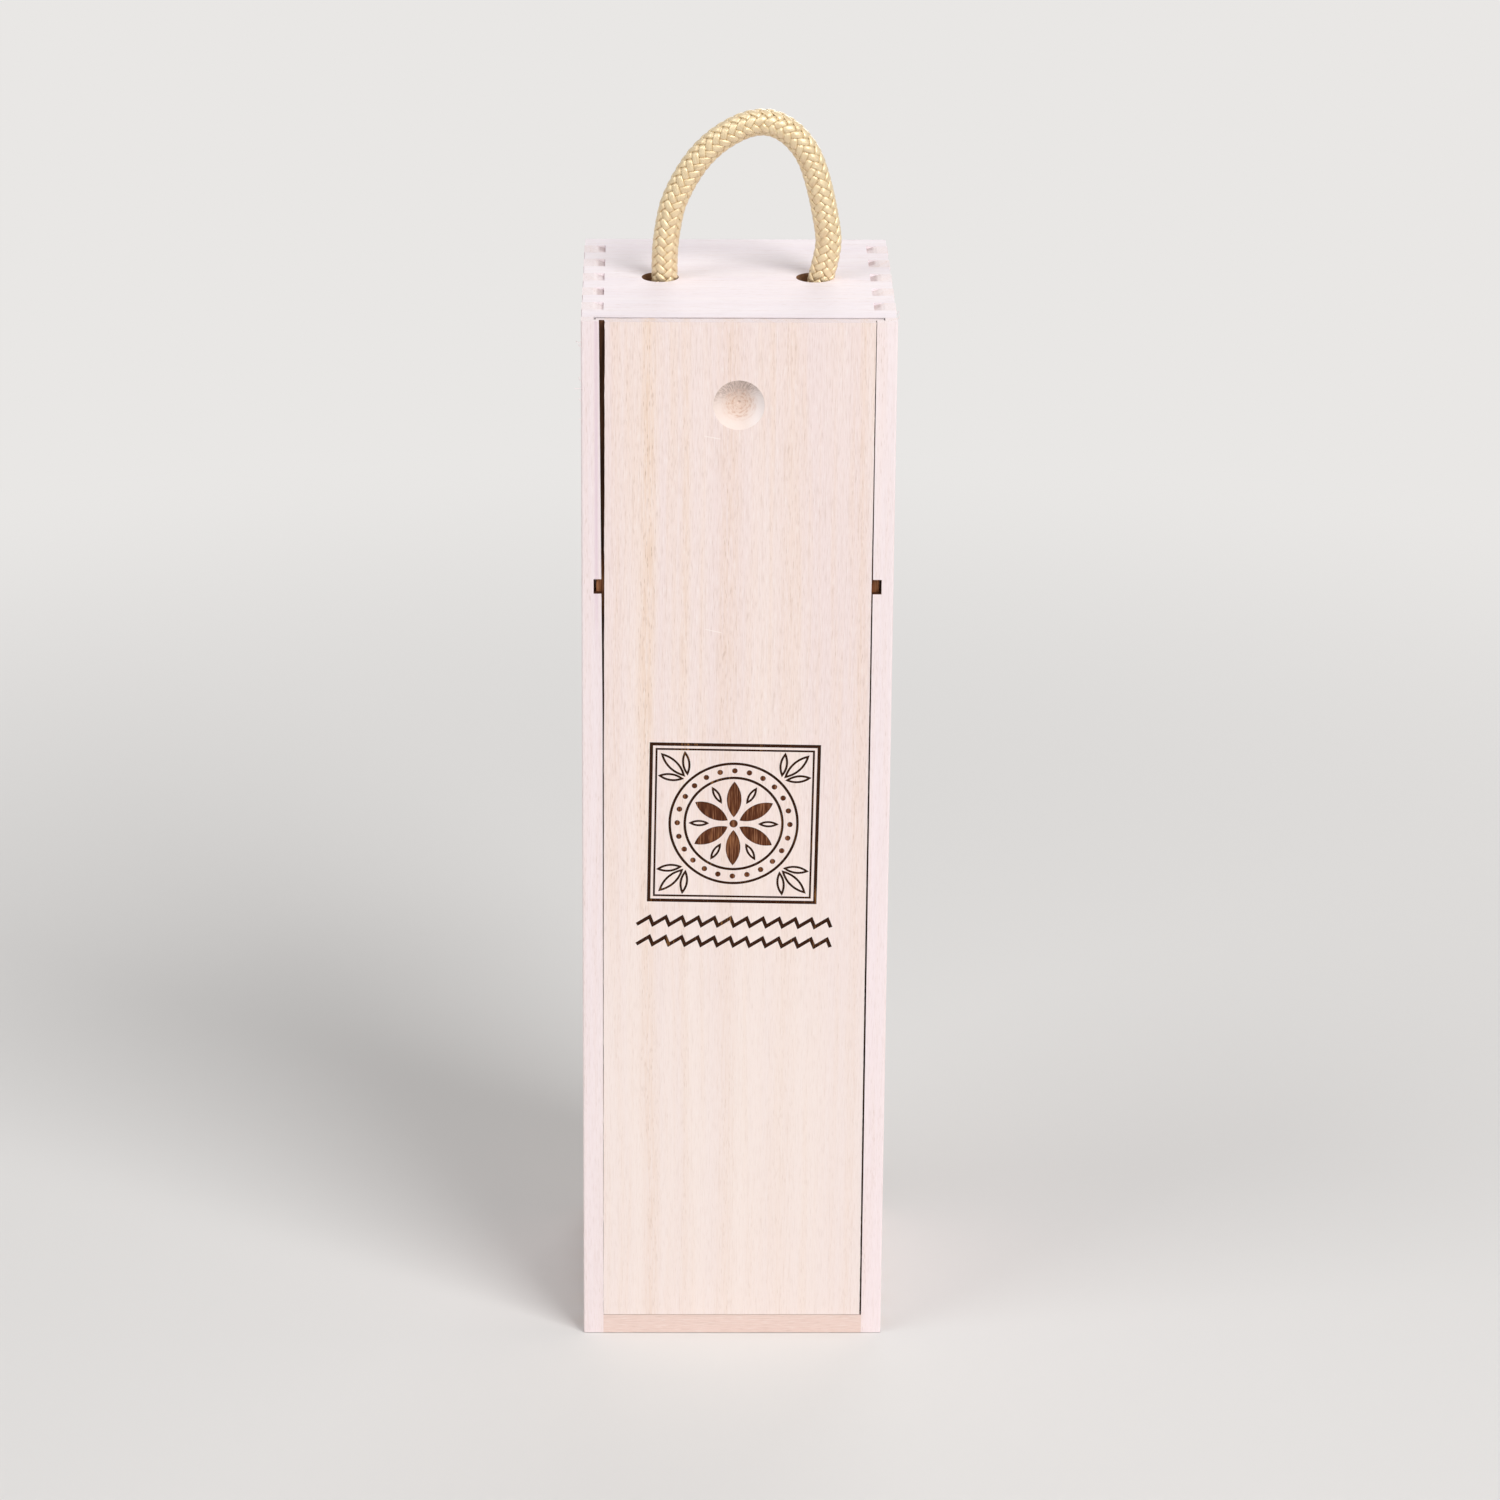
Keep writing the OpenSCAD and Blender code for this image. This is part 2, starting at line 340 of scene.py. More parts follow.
def pulled_tight(loose, thick, step, rounds):
    """Shortens an open knot until it is tight. Lengths are in millimetres."""
    route = even_steps(loose, step)
    top, foot = route[0].copy(), route[-1].copy()
    for count in range(rounds):
        if count % 4 == 0:
            route = even_steps(route, step)
        moved = route.copy()
        moved[1:-1] += PULL * (route[:-2] + route[2:] - 2 * route[1:-1])
        bend = route[:-4] - 4 * route[1:-3] + 6 * route[2:-2] - 4 * route[3:-1] + route[4:]
        moved[2:-2] -= STIFFNESS * bend
        route = moved
        order = np.arange(len(route))
        between = np.abs(order[:, None] - order[None]) * step
        for _ in range(2):
            gap = route[:, None] - route[None]
            apart = np.linalg.norm(gap, axis=2) + 1e-9
            near = (apart < thick) & (between > STRANGERS * thick)
            lack = np.where(near, thick - apart, 0.0)
            push = (gap / apart[..., None] * lack[..., None]).sum(1)
            route = route + 0.5 * push / np.maximum(near.sum(1), 1)[:, None]
        route[0], route[-1] = top, foot
        route[1][:2] = top[:2]
    return rounded(even_steps(route, 0.5), 10)


CROSSINGS = [
    (0, 0, 4), (0, 0.1, 2.4), (0, 0.5, 1), (0, -0.5, -0.2), (0.3, 0, -1.3), (1, 0.5, -1.6),
    (1.9, 0, -1.2), (2.2, 0, -0.2), (1.4, -0.3, 0.8), (0, -0.5, 1), (-0.9, 0, 0.8), (-0.8, 0.4, 0.2),
    (0, 0.5, -0.2), (0.6, 0, -0.9), (1, -0.5, -1.6), (0.9, 0, -2.6), (0, 0, -4),
]
KNOT_PACKING = 7.3
LOOSENESS = 1.15
loose_knot = np.array(CROSSINGS, float) * LOOSENESS * ROPE_THICK
knot_route = pulled_tight(loose_knot, KNOT_PACKING, 2.0, 500)
print("knot tied with", round(0.5 * len(knot_route)), "mm of rope, ends included")

# %% [markdown]
# ## Both knots in place
# The two knots are the same, one turned half round so that they don't look stamped. Each hangs under
# the board with its upper turn against the wood, and its tail is cut short.

# %% Placing the knots
BOARD_UNDERSIDE = 346.5
TAIL_END = 321.2
STUB = 3.5
LEAD_IN = 10
# On the knot as tied: a height at which the rope stands straight, and how far out its turns begin.
STANDING_AT, TURNS_FROM = 12, 6


def placed_knot(name, node, axis_x, half_turn):
    """A knot under its hole, from a stub that reaches up into the hole down to the end of the tail."""
    route = knot_route.copy()
    route[:, 0] -= route[np.argmin(np.abs(route[:, 2] - STANDING_AT)), 0]
    if half_turn:
        route[:, :2] *= -1
    turns = route[(np.abs(route[:, 0]) + np.abs(route[:, 1])) > TURNS_FROM]
    route += (axis_x, ROPE_Y, BOARD_UNDERSIDE - ROPE_THICK / 2 + 0.1 - turns[:, 2].max())
    lower_half = np.arange(len(route)) > len(route) / 2
    lowest = np.argmin(np.where(lower_half, np.abs(route[:, 2] - TAIL_END), np.inf))
    highest = np.argmin(np.abs(route[:, 2] - (BOARD_UNDERSIDE + STUB)))
    route = route[highest : lowest + 1]
    to_axis = np.array([axis_x, ROPE_Y]) - route[0, :2]
    route[:LEAD_IN, :2] += to_axis * np.linspace(1, 0, LEAD_IN)[:, None]
    knot = braid(name, route, squeeze=0.96)
    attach(knot, "case")
    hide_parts(node)
    return knot


knot_left = placed_knot("knot_left", "rope_end_left", -23.6, True)
knot_right = placed_knot("knot_right", "rope_end_right", 26.4, False)
for knot in (knot_left, knot_right):
    print(knot.name, "down to", round(knot.bound_box[0][2], 4), "with", len(knot.data.polygons), "faces")

# %% [markdown]
# ## Arithmetic for materials
# A material is a graph of nodes, and a graph is hard to read as code. The class below wraps one socket,
# so that a sum or a product of two patterns is written as such, and each sign adds one Math node.
# Everything else goes through one method, which sets a node up and joins it.

# %% Sums and products of patterns
class Value:
    """One number that varies over a surface."""

    def __init__(self, finish, socket):
        self.finish = finish
        self.socket = socket

    def math(self, operation, *others):
        return self.finish.node("ShaderNodeMath", [self, *others], operation=operation)

    def __add__(self, other):
        return self.math("ADD", other)

    def __mul__(self, other):
        return self.math("MULTIPLY", other)

    def __sub__(self, other):
        return self.math("SUBTRACT", other)

    def __rsub__(self, other):
        return self.finish.node("ShaderNodeMath", [other, self], operation="SUBTRACT")

    def __pow__(self, power):
        return self.math("POWER", power)

    def __abs__(self):
        return self.math("ABSOLUTE")

    __radd__ = __add__
    __rmul__ = __mul__

    def larger(self, other):
        return self.math("MAXIMUM", other)

    def smaller(self, other):
        return self.math("MINIMUM", other)

    def step(self, low, high):
        """0 below low, 1 above high and smooth between; the other way round if low is above high."""
        settings = {"interpolation_type": "SMOOTHSTEP"}
        if low <= high:
            return self.finish.node("ShaderNodeMapRange", [self, low, high, 0.0, 1.0], **settings)
        return self.finish.node("ShaderNodeMapRange", [self, high, low, 1.0, 0.0], **settings)


print("values can be added, multiplied and compared")

# %% [markdown]
# ## A finish
# A finish is a material with one principled shader. Its colour, roughness and relief are joined to
# patterns, and what is the same all over is set on the shader itself.

# %% A finish built node by node
class Finish:
    """A material with one principled shader, built up node by node."""

    def __init__(self, name):
        self.material = bpy.data.materials.new(name)
        self.material.use_nodes = True
        self.tree = self.material.node_tree
        self.shader = self.tree.nodes["Principled BSDF"]

    def node(self, kind, values=(), output=0, **settings):
        """Adds a node: its settings first, then the values or links of its sockets."""
        made = self.tree.nodes.new(kind)
        for name, setting in settings.items():
            setattr(made, name, setting)
        pairs = values.items() if isinstance(values, dict) else enumerate(values)
        for name, value in pairs:
            if isinstance(value, Value):
                self.tree.links.new(value.socket, made.inputs[name])
            elif value is not None:
                made.inputs[name].default_value = value
        return Value(self, made.outputs[output])

    def split(self, vector):
        return [self.node("ShaderNodeSeparateXYZ", [vector], output=k) for k in range(3)]

    def point(self, x, y, z):
        return self.node("ShaderNodeCombineXYZ", [x, y, z])

    def noise(self, x, y, z, detail=1.0, rough=0.5):
        values = {"Vector": self.point(x, y, z), "Scale": 1.0, "Detail": detail, "Roughness": rough}
        return self.node("ShaderNodeTexNoise", values)

    def cells(self, x, y, z):
        """The distance to the nearest of many scattered points."""
        values = {"Vector": self.point(x, y, z), "Scale": 1.0, "Randomness": 1.0}
        return self.node("ShaderNodeTexVoronoi", values, feature="F1")

    def place(self):
        """Where a point lies on its own piece."""
        return self.split(self.node("ShaderNodeTexCoord", output="Object"))

    def tint(self, mask, under, over):
        """The colour under where the mask is 0, and the colour over where it is 1."""
        return self.node("ShaderNodeMix", {0: mask, 6: under, 7: over}, output=2, data_type="RGBA")

    def plain(self, **constants):
        for name, value in constants.items():
            self.shader.inputs[name.replace("_", " ")].default_value = value

    def give(self, socket, value):
        self.tree.links.new(value.socket, self.shader.inputs[socket])

    def relief(self, height, depth_mm):
        """Feeds a height from 0 to 1 to the normal, depth_mm deep."""
        values = {"Strength": 1.0, "Distance": depth_mm * MM, "Height": height}
        self.give("Normal", self.node("ShaderNodeBump", values))


def paint(red, green, blue):
    """A colour named in the 0 to 255 of a paint chart, as the shader's linear light."""
    parts = [c / 255 for c in (red, green, blue)]
    return tuple(c / 12.92 if c < 0.04045 else ((c + 0.055) / 1.055) ** 2.4 for c in parts) + (1.0,)


print("material tools ready")

# %% [markdown]
# ## The wood
# The boards are a light, pale timber, planed and left raw. A tree grows in rings round its heart, so
# the rings are worked out as a distance from a line that runs along the grain, beside the board. The
# same rings then show as lines on the faces and as arcs on the cut ends, and an edge continues its
# face. On top of them lie short fibres, and warmer streaks in which the pores gather. Raw wood has no
# strong figure, so most of its life comes from the short fibres.

# %% The wood of every board
def raw_wood(
    name, grain, heart, seed, tone, lively=1.0, paler_foot=0.0, streaks=(), marks=None, calm=None
):
    """A planed board with its grain along one axis and its heart beside it.

    lively scales the short fibres. paler_foot says how far an upright board pales towards its foot.
    marks may change the colour last. calm, two places along the grain, lets fibres and streaks fade
    from the second to the first.
    """
    light, lilac, stain, ends, pale = tone
    wood = Finish(name)
    place = wood.place()
    facing = wood.split(wood.node("ShaderNodeNewGeometry", output="Normal"))
    along = place["XYZ".index(grain)]
    across, through = [place[k] for k in range(3) if "XYZ"[k] != grain]
    end_grain = abs(facing["XYZ".index(grain)]).step(0.55, 0.8)
    drift = wood.noise(across * 8 + seed, through * 8, along * 3.5, 2) - 0.5
    wander = across + drift * 0.01
    ring = ((wander - heart[0]) ** 2 + (through - heart[1]) ** 2) ** 0.5
    bands = wood.noise(ring * 75 + seed, 0.0, along * 1.5, 2, 0.6)
    lines = wood.noise(ring * 420 + seed, 0.0, along * 8, 2, 0.6)
    threads = wood.noise(across * 1600 + seed, through * 1600, along * 60, 2, 0.6)
    fibre = wood.noise(across * 2800 + seed, through * 2800, along * 230, 2, 0.6)
    awake = along.step(*calm) * 0.5 + 0.5 if calm else 1.0
    lively = awake * lively
    colour = wood.tint(bands.step(0.36, 0.64), light, lilac)
    colour = wood.tint(along.step(0.27, 0.06) * paler_foot, colour, pale)
    colour = wood.tint(end_grain * 0.8, colour, ends)
    warmth = lines.step(0.42, 0.75) * 0.35 * awake
    for middle, width, strength in streaks:
        broken = (threads * 0.7 + lines * 0.3).step(0.34, 0.62) * 0.7 + 0.3
        warmth = warmth.larger(abs(wander - middle).step(width, 0.0) * broken * strength * awake)
    colour = wood.tint(warmth, colour, stain)
    colour = wood.tint(threads.step(0.50, 0.76) * 0.26 * lively, colour, paint(208, 180, 164))
    colour = wood.tint(fibre.step(0.50, 0.78) * 0.32 * lively, colour, paint(192, 162, 146))
    colour = wood.tint(fibre.step(0.50, 0.22) * 0.36 * lively, colour, paint(255, 249, 247))
    size = wood.cells(across * 1900 + seed, through * 1900, along * 260)
    pores = size.step(0.32, 0.12) * (warmth * 1.2 + end_grain * 0.5 + 0.06).smaller(1.0)
    colour = wood.tint(pores * 0.5, colour, paint(168, 124, 90))
    if marks:
        colour = marks(wood, colour, place, facing, threads)
    wood.give("Base Color", colour)
    wood.give("Roughness", 0.60 + threads * 0.2)
    wood.plain(Specular_IOR_Level=0.25)
    wood.relief(threads * 0.4 + fibre * 0.5 - pores * 0.6, 0.03)
    return wood.material


print("wood recipe ready")

# %% [markdown]
# ## Marks of the making
# The grooves, the slots for the brace and the holes for the rope were cut with fast tools that ran hot,
# so their walls are browner than the planed faces; in the grooves and slots that brown is partly a
# painted shade inside the narrow cut. At the inner ends of the fingers the wood is painted darker, as
# painted shade. The marks are masks on the board's own place: whatever lies deeper than the face is a
# wall of the cut.

# %% The marks on sides and top
BRACE_Z = 0.265
HALF_SLOT = 0.0025
CASE_MID_Z = 0.1765
GROOVE_FRONT, GROOVE_BACK, GROOVE_FLOOR = -0.0497, -0.0447, 0.0461
HOLES = ((-0.025, 0.0026), (0.025, 0.0026))
HOLE_RADIUS = 0.006
PLANED_FROM = (0.235, 0.27)
LILAC_LINE_X = -0.0452
FINGERS_END = (0.0458, 0.0447)


def scorch_with_painted_light(wood, threads, dark=paint(62, 34, 18), brown=paint(98, 62, 40)):
    """Wood painted dark brown along its threads, as burnt by a hot tool; in narrow cuts it is also
    painted shade, and its lighter copy on the lid is painted light.
    """
    return wood.tint(threads.step(0.35, 0.65), dark, brown)


def hot_cuts(wood, colour, place, facing, threads):
    """A side board's groove and slot, scorched and painted with shade, painted shade at the fingers'
    inner ends, and a thin lilac line.
    """
    x, y, z = place
    reach = abs(x)
    below_ends = abs(facing[2]).step(0.9, 0.5)
    planed = z.step(*PLANED_FROM) * y.step(GROOVE_FRONT, GROOVE_FRONT - 0.0002)
    # A thin lilac line down the upper front of the left side, by its inner edge.
    lilac_line = abs(x - LILAC_LINE_X).step(0.0009, 0.0001) * planed * 0.6
    colour = wood.tint(lilac_line, colour, paint(226, 202, 212))
    in_cut = reach.step(GROOVE_FLOOR + 0.0001, GROOVE_FLOOR)
    in_depth = y.step(GROOVE_FRONT, GROOVE_FRONT + 0.0002) * y.step(GROOVE_BACK, GROOVE_BACK - 0.0001)
    groove = in_depth * below_ends
    slot = abs(z - BRACE_Z).step(HALF_SLOT, HALF_SLOT - 0.0001)
    # Painted shade: the groove and the brace slot are painted dark brown, partly scorched wood and partly
    # the shade inside the narrow cut.
    colour = wood.tint(groove.larger(slot) * in_cut, colour, scorch_with_painted_light(wood, threads))
    at_end = abs(z - CASE_MID_Z).step(CASE_MID_Z - 0.0014, CASE_MID_Z - 0.001)
    behind = y.step(GROOVE_BACK - 0.0001, GROOVE_BACK + 0.0001)
    uneven = wood.noise(x * 30, y * 120, z * 30, 1).step(0.36, 0.62) * 0.75 + 0.2
    # Painted shade: the inner ends of the fingers are painted darker, as the shade that the slots' inner
    # walls would throw.
    finger_end_shade = at_end * behind * reach.step(*FINGERS_END) * (threads * 0.8 + 0.3).smaller(1.0) * uneven
    return wood.tint(finger_end_shade, colour, paint(188, 164, 164))


def drilled_holes(wood, colour, place, facing, threads):
    """The top board's two holes, browned by the drill."""
    x, y, _ = place
    left, right = [(x - hole_x) ** 2 + (y - hole_y) ** 2 for hole_x, hole_y in HOLES]
    edge = ((HOLE_RADIUS + 0.00004) ** 2, (HOLE_RADIUS + 0.00001) ** 2)
    walls = left.step(*edge).larger(right.step(*edge))
    return wood.tint(walls, colour, wood.tint(threads, paint(176, 140, 112), paint(120, 84, 58)))


print("marks ready for the sides and the top")

# %% [markdown]
# ## One wood, several tones
# The boards come from one kind of wood, and yet no two have quite the same tone: the sides and the top
# are cool and nearly white, the back is creamy, and the bottom board shows a rosy edge. Each tone is a
# few colours for the same recipe, and each board gets its own seed, so that no figure is seen twice.

# %% The tones and the boards
def tone(light, lilac, stain, ends, pale=(255, 243, 235)):
    """A board's two ground colours, its streaks, its cut ends, and the colour that its foot pales to."""
    return [paint(*colour) for colour in (light, lilac, stain, ends, pale)]


LILAC = tone((246, 232, 232), (241, 226, 230), (240, 219, 213), (247, 235, 236), (255, 240, 239))
WHITISH = tone((250, 236, 235), (245, 231, 233), (243, 222, 214), (249, 237, 238), (255, 238, 240))
COOL = tone((250, 241, 244), (246, 236, 241), (245, 231, 232), (249, 239, 242))
CREAMY = tone((246, 228, 221), (242, 224, 220), (236, 208, 184), (240, 224, 216))
ROSY = tone((239, 214, 204), (234, 207, 199), (220, 184, 172), (240, 215, 205))
TOP_STREAKS = ((-0.0012, 0.0009, 0.5), (0.031, 0.0007, 0.3))
BACK_STREAKS = ((0.021, 0.002, 0.4),)
# Each board's grain, heart, seed, tone, liveliness, paler foot, streaks and marks.
BOARDS = {
    "left_side": ("Z", (0.08, 0.05), 3.0, LILAC, 0.6, 0.35, (), hot_cuts),
    "right_side": ("Z", (-0.07, 0.09), 17.0, WHITISH, 0.55, 0.5, (), hot_cuts),
    "top_board": ("X", (0.14, 0.30), 29.0, COOL, 0.45, 0.0, TOP_STREAKS, drilled_holes),
    "bottom_board": ("X", (0.30, -0.06), 41.0, ROSY, 0.9),
    "back_panel": ("Z", (0.12, -0.03), 53.0, CREAMY, 1.0, 0.0, BACK_STREAKS),
    "neck_brace": ("X", (0.09, 0.22), 67.0, CREAMY),
}
woods = {}
for board, recipe in BOARDS.items():
    woods[board] = raw_wood("planed " + board.replace("_", " "), *recipe)
    for slot in nodes[board].material_slots:
        slot.material = woods[board]
print("boards finished:", ", ".join(woods))

# %% [markdown]
# ## The ornament's cutter
# The lid carries an ornament burnt in by a laser: a dark, solid figure in a field of thin lines, with
# two saw-tooth lines under it. A laser leaves a shallow channel with a scorched floor, so the ornament
# is cut into the wood for real, and not painted on. Each line starts as bare edges, drawn as with a
# compass by spinning one point. The edges are drawn out into a wall that stands through the lid's face,
# and the wall is thickened evenly to the width of the line.

# %% Drawing with one point
FACE = float(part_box("sliding_lid")[0].y)
BURN_DEPTH = 0.28 * MM
BEFORE = 0.5 * MM


def start_point(name, x, z):
    """An object of a single point, a little in front of the lid, in edit mode."""
    bpy.ops.mesh.primitive_plane_add(size=0.001, location=(0, 0, 0))
    piece = bpy.context.object
    piece.name = name
    open_up(piece)
    bpy.ops.mesh.merge(type="CENTER")
    bpy.ops.transform.translate(value=(x, FACE - BEFORE, z))
    return piece


def spin_arc(centre_x, centre_z, degrees):
    """Draws on from the selected point, round a centre, against the clock as seen from the front."""
    centre = (centre_x, FACE - BEFORE, centre_z)
    bpy.ops.mesh.spin(steps=20, angle=math.radians(degrees), center=centre, axis=(0, 1, 0))


def closed(piece):
    """Joins the line's ends and leaves edit mode."""
    bpy.ops.mesh.select_all(action="SELECT")
    bpy.ops.mesh.remove_doubles(threshold=0.00002)
    shut()
    return piece


def draw_out(x, y, z):
    """Extrudes what is selected by a way in metres."""
    bpy.ops.mesh.extrude_region_move(TRANSFORM_OT_translate={"value": (x, y, z)})


def line_cutter(piece, width):
    """A wall along the line's edges, as thick as the line is wide."""
    open_up(piece)
    draw_out(0, BEFORE + BURN_DEPTH, 0)
    shut()
    wall = piece.modifiers.new("width", "SOLIDIFY")
    wall.thickness = width * MM
    wall.offset = 0
    wall.use_even_offset = True
    wall.thickness_clamp = 0
    bpy.ops.object.modifier_apply(modifier=wall.name)
    return piece


def solid_cutter(piece):
    """A closed line filled and drawn out: a figure burnt all over."""
    open_up(piece)
    bpy.ops.mesh.edge_face_add()
    draw_out(0, BEFORE + BURN_DEPTH, 0)
    bpy.ops.mesh.select_all(action="SELECT")
    bpy.ops.mesh.normals_make_consistent(inside=False)
    shut()
    return piece


def copies_round(piece, count, centre, first=0.0):
    """The piece and its copies, turned round a centre, each with its own mesh."""
    around = Matrix.Translation(Vector(centre))
    made = [piece]
    for _ in range(count - 1):
        turned = piece.copy()
        turned.data = piece.data.copy()
        bpy.context.collection.objects.link(turned)
        made.append(turned)
    for k, turned in enumerate(made):
        turn = Matrix.Rotation(math.radians(first + 360 * k / count), 4, "Y")
        turned.data.transform(around @ turn @ around.inverted())
    return made


print("the lid's face is at", round(FACE * 1000, 2), "mm")

# %% [markdown]
# ## Petals, leaves and rings
# The figure is a compass rose of six petals, the first thing anyone draws with a compass and an
# ornament of no one maker. Round it go rings, and a spray of three leaves fills each corner of a double
# border. The petals stand clear of each other, because the Boolean that cuts them wants cutters that
# don't cross themselves.

# %% The compass rose
MID_X, MID_Z = -0.75 * MM, 183.7 * MM
CENTRE = (MID_X, 0, MID_Z)


def leaf(name, root, length, arc):
    """A pointed leaf standing upwards from its root: two arcs, in degrees, that meet at both ends."""
    half = math.radians(arc) / 2
    radius = length / 2 / math.sin(half)
    reach = radius * math.cos(half)
    x, z = root
    piece = start_point(name, x, z)
    spin_arc(x - reach, z + length / 2, arc)
    bpy.ops.mesh.select_all(action="DESELECT")
    shut()
    tip = max(piece.data.vertices, key=lambda v: v.co.z)
    tip.select = True
    bpy.ops.object.mode_set(mode="EDIT")
    spin_arc(x + reach, z + length / 2, arc)
    return closed(piece)


def ring(name, radius, steps=96):
    """A bare circle round the middle, in front of the lid."""
    place = (MID_X, FACE - BEFORE, MID_Z)
    bpy.ops.mesh.primitive_circle_add(
        vertices=steps, radius=radius, fill_type="NOTHING", location=place, rotation=(math.pi / 2, 0, 0)
    )
    piece = bpy.context.object
    piece.name = name
    bpy.ops.object.transform_apply()
    return piece


figures = [solid_cutter(ring("heart", 1.35 * MM, 32))]
petal = solid_cutter(leaf("petal", (MID_X, MID_Z + 2.2 * MM), 12.4 * MM, 84))
figures += copies_round(petal, 6, CENTRE)
bead = solid_cutter(ring("bead", 0.9 * MM, 24))
bead.data.transform(Matrix.Translation((0, 0, 18.35 * MM)))
figures += copies_round(bead, 24, CENTRE)
lines = [line_cutter(ring("ring_inner", 15.9 * MM), 0.85)]
lines.append(line_cutter(ring("ring_outer", 20.8 * MM), 0.85))
between = line_cutter(leaf("between", (MID_X, MID_Z + 8.6 * MM), 5.4 * MM, 62), 0.7)
lines += copies_round(between, 6, CENTRE, 30)
print(len(figures), "solid figures and", len(lines), "lines round the middle")

# %% [markdown]
# ## Corners and border
# The border is two squares, a strong and a fine one. The saw-tooth lines are drawn as by hand: one
# point is drawn out, rise and fall, tooth after tooth.

# %% Corners, border and saw-tooth lines
SPRAY = ((-38, 7.2), (0, 10.0), (38, 7.2))


def square(name, half):
    """The four bare edges of a square round the middle; half is half its side."""
    place = (MID_X, FACE - BEFORE, MID_Z)
    bpy.ops.mesh.primitive_plane_add(size=2 * half, location=place, rotation=(math.pi / 2, 0, 0))
    piece = only(bpy.context.object)
    piece.name = name
    bpy.ops.object.transform_apply()
    open_up(piece)
    bpy.ops.mesh.delete(type="ONLY_FACE")
    shut()
    return piece


def corner_spray():
    """Three leaves, drawn above the outer ring and copied into all four corners."""
    made = []
    for k, (turn, length) in enumerate(SPRAY):
        piece = line_cutter(leaf(f"spray_{k}", (MID_X, MID_Z + 23.4 * MM), length * MM, 62), 0.72)
        root = Vector((MID_X, 0, MID_Z + 21.4 * MM))
        lean = Matrix.Rotation(math.radians(turn), 4, "Y")
        piece.data.transform(Matrix.Translation(root) @ lean @ Matrix.Translation(-root))
        made += copies_round(piece, 4, CENTRE, 45)
    return made


def saw_line(name, left, height, teeth=12, pitch=5.3, rise=2.75, fall=1.1):
    """Teeth that rise gently to the right and fall steeply."""
    piece = start_point(name, left * MM, (height - rise / 2) * MM)
    for _ in range(teeth):
        for run, climb in ((pitch - fall, rise), (fall, -rise)):
            draw_out(run * MM, 0, climb * MM)
    shut()
    return line_cutter(piece, 1.2)


lines.append(line_cutter(square("border_outer", 27.2 * MM), 1.1))
lines.append(line_cutter(square("border_inner", 25.5 * MM), 0.65))
lines += corner_spray()
lines.append(saw_line("saw_upper", -31.7, 149.2))
lines.append(saw_line("saw_lower", -31.7, 142.2))
print(len(figures) + len(lines), "pieces in the whole ornament")

# %% [markdown]
# ## What burning and cutting leave
# A fine line is burnt nearly black. A broad figure is burnt in many passes, which leaves it brown and
# streaked along the grain, where the harder wood charred less. The hollow for the thumb was cut across
# the fibres, and they tore in its upper half; that half is also painted greyer, as painted shade under
# its rim, and its right side is painted lighter, as painted light. The lid's tongues are scorched by the
# cutter, like the grooves they run in, and painted darker still as painted shade in the narrow gap
# beside the lid, but lighter by the brace slot, as painted light. The joint at the lid's top end is
# painted darker, as painted shade.

# %% Burnt wood and the lid's own marks
def burnt_wood(name, char, brown, reach, streaky=0.0):
    """Charred wood, browner in patches along the grain; reach says how far they spread."""
    burn = Finish(name)
    x, y, z = burn.place()
    streaks = burn.noise(x * 1800, y * 1800, z * 70, 3, 0.65)
    patches = burn.noise(x * 90, y * 260, z * 110 + 5, 2)
    spread = (streaks * 0.6 + patches * 0.55).step(0.86 - reach, 1.02 - reach)
    threads = burn.noise(x * 2600, y * 2600, z * 110 + 2, 2, 0.7)
    colour = burn.tint(spread, char, brown)
    colour = burn.tint(threads.step(0.5, 0.68) * streaky, colour, paint(176, 122, 88))
    colour = burn.tint(threads.step(0.5, 0.34) * streaky, colour, paint(52, 24, 14))
    burn.give("Base Color", colour)
    burn.plain(Roughness=0.85, Specular_IOR_Level=0.15)
    burn.relief(streaks, 0.05)
    return burn.material


HOLLOW_Z = 0.3256
HOLLOW_RADIUS = 0.0081
TONGUES_FROM = 0.042
LID_TOP = 0.353
SCRATCHES = ((-0.0083, 0.3149, -0.185), (-0.0077, 0.2500, -0.222))


def torn_hollow(wood, place, reach):
    """The hollow: rings left by the cutter, browner towards its middle, torn fibres and painted shade in
    its upper part, and painted light on its right side.
    """
    x, _, z = place
    rise = z - HOLLOW_Z
    angle = wood.node("ShaderNodeMath", [rise, x], operation="ARCTAN2")
    ringed = reach.step(0.0066, 0.0036) * reach.step(0.0004, 0.0022)
    rings = wood.noise(reach * 1700, angle * 2.2, 3.0, 2, 0.6).step(0.44, 0.68) * ringed
    hatch = wood.noise(angle * 15, reach * 420, 9.0, 3, 0.7).step(0.42, 0.62)
    against = (rise * 0.95 - x * 0.2).step(0.0004, 0.0058)
    # Painted light: the hollow's right side is painted lighter.
    inner = wood.tint(x.step(0.0015, 0.0065), paint(235, 219, 211), paint(250, 240, 238))
    inner = wood.tint(reach.step(0.0068, 0.0018) * 0.5, inner, paint(226, 194, 172))
    inner = wood.tint(rings * 0.65, inner, paint(200, 152, 120))
    # Painted shade: the upper part is painted greyer, and torn fibres are hatched darker across it.
    inner = wood.tint(against * 0.4, inner, paint(212, 190, 181))
    return wood.tint(against * hatch * 0.7, inner, paint(160, 138, 127))


